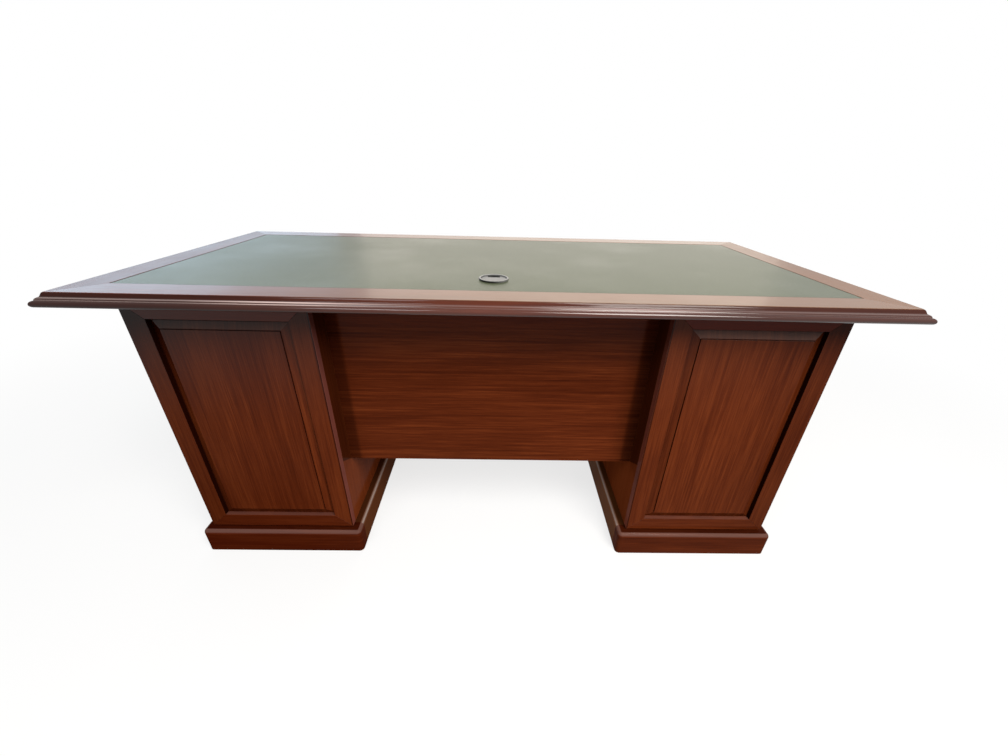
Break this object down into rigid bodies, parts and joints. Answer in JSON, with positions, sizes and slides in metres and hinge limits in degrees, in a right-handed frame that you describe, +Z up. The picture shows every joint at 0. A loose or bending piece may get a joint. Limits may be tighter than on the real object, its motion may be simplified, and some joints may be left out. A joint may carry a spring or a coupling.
{
  "type": "double-pedestal desk",
  "caption": "Double-pedestal executive desk with leather-inlaid moulded top, raised-panel visitor's side, modesty panel, drawers, cupboard and cable grommet",
  "frame": {"origin": "on the floor under the middle of the top", "axes": "X along the desk's length, to the visitor's right; -Y towards the visitor, +Y towards the sitter, where the drawers open; Z up"},
  "size_m": [1.74, 0.8, 0.764],
  "materials": {
    "mahogany": "semi-gloss red-brown mahogany veneer",
    "drawer_wood": "pale sealed hardwood, satin",
    "leather": "olive-grey fine-grained desk leather, semi-gloss",
    "grommet_plastic": "dark grey moulded plastic",
    "cap_plastic": "light grey moulded plastic",
    "brass": "lacquered polished brass",
    "steel": "zinc-plated steel"
  },
  "bodies": {
    "carcass": {"top_board": "mahogany", "border_long": "mahogany", "border_short": "mahogany", "edge_moulding_long": "mahogany", "edge_moulding_short": "mahogany", "modesty_panel": "mahogany", "cupboard_shelf": "mahogany", "left_outer_side": "mahogany", "left_inner_side": "mahogany", "left_bottom": "mahogany", "left_top": "mahogany", "left_plinth": "mahogany", "left_frame_rails": "mahogany", "left_frame_stiles": "mahogany", "left_raised_panel": "mahogany", "right_outer_side": "mahogany", "right_inner_side": "mahogany", "right_bottom": "mahogany", "right_top": "mahogany", "right_plinth": "mahogany", "right_frame_rails": "mahogany", "right_frame_stiles": "mahogany", "right_raised_panel": "mahogany", "modesty_cleats": "drawer_wood", "leather_inlay": "leather", "grommet_sleeve": "grommet_plastic", "pivot_plates": "brass", "top_screws": "steel", "shelf_pins": "steel", "left_tracks": "steel", "centre_tracks": "steel"},
    "grommet_cap": {"grommet_cap": "cap_plastic"},
    "centre_drawer": {"centre_drawer_front": "mahogany", "centre_drawer_walls": "drawer_wood", "centre_drawer_bottom": "drawer_wood", "centre_drawer_runners": "steel", "lock_case": "brass"},
    "lock_plug": {"lock_plug": "brass"},
    "cupboard_door": {"cupboard_door": "mahogany", "door_posts": "brass"},
    "door_bail": {"door_bail": "brass"},
    "file_drawer": {"file_drawer_front": "mahogany", "file_drawer_walls": "drawer_wood", "file_drawer_bottom": "drawer_wood", "file_drawer_runners": "steel", "file_drawer_posts": "brass"},
    "file_drawer_bail": {"file_drawer_bail": "brass"},
    "middle_drawer": {"middle_drawer_front": "mahogany", "middle_drawer_walls": "drawer_wood", "middle_drawer_bottom": "drawer_wood", "middle_drawer_runners": "steel", "middle_drawer_posts": "brass"},
    "middle_drawer_bail": {"middle_drawer_bail": "brass"},
    "upper_drawer": {"upper_drawer_front": "mahogany", "upper_drawer_walls": "drawer_wood", "upper_drawer_bottom": "drawer_wood", "upper_drawer_runners": "steel", "upper_drawer_posts": "brass"},
    "upper_drawer_bail": {"upper_drawer_bail": "brass"}
  },
  "joints": [
    {"name": "file_drawer_slide", "type": "slide", "parent": "carcass", "child": "file_drawer", "axis": [0, 1, 0], "range_m": [0, 0.38]},
    {"name": "file_drawer_bail_swing", "type": "hinge", "parent": "file_drawer", "child": "file_drawer_bail", "pos_m": [-0.5825, 0.363, 0.231], "axis": [1, 0, 0], "range_deg": [-15, 90]},
    {"name": "middle_drawer_slide", "type": "slide", "parent": "carcass", "child": "middle_drawer", "axis": [0, 1, 0], "range_m": [0, 0.38]},
    {"name": "middle_drawer_bail_swing", "type": "hinge", "parent": "middle_drawer", "child": "middle_drawer_bail", "pos_m": [-0.5825, 0.363, 0.4715], "axis": [1, 0, 0], "range_deg": [-15, 90]},
    {"name": "upper_drawer_slide", "type": "slide", "parent": "carcass", "child": "upper_drawer", "axis": [0, 1, 0], "range_m": [0, 0.38]},
    {"name": "upper_drawer_bail_swing", "type": "hinge", "parent": "upper_drawer", "child": "upper_drawer_bail", "pos_m": [-0.5825, 0.363, 0.6455], "axis": [1, 0, 0], "range_deg": [-15, 90]},
    {"name": "centre_drawer_slide", "type": "slide", "parent": "carcass", "child": "centre_drawer", "axis": [0, 1, 0], "range_m": [0, 0.3]},
    {"name": "lock_turn", "type": "hinge", "parent": "centre_drawer", "child": "lock_plug", "pos_m": [0, 0.345, 0.692], "axis": [0, 1, 0], "range_deg": [0, 90]},
    {"name": "cupboard_door_swing", "type": "hinge", "parent": "carcass", "child": "cupboard_door", "pos_m": [0.769, 0.3355, 0.407], "axis": [0, 0, -1], "range_deg": [0, 110]},
    {"name": "door_bail_swing", "type": "hinge", "parent": "cupboard_door", "child": "door_bail", "pos_m": [0.474, 0.363, 0.56], "axis": [1, 0, 0], "range_deg": [-15, 90]},
    {"name": "grommet_cap_turn", "type": "hinge", "parent": "carcass", "child": "grommet_cap", "pos_m": [0, -0.22, 0.761], "axis": [0, 0, 1], "continuous": true}
  ]
}
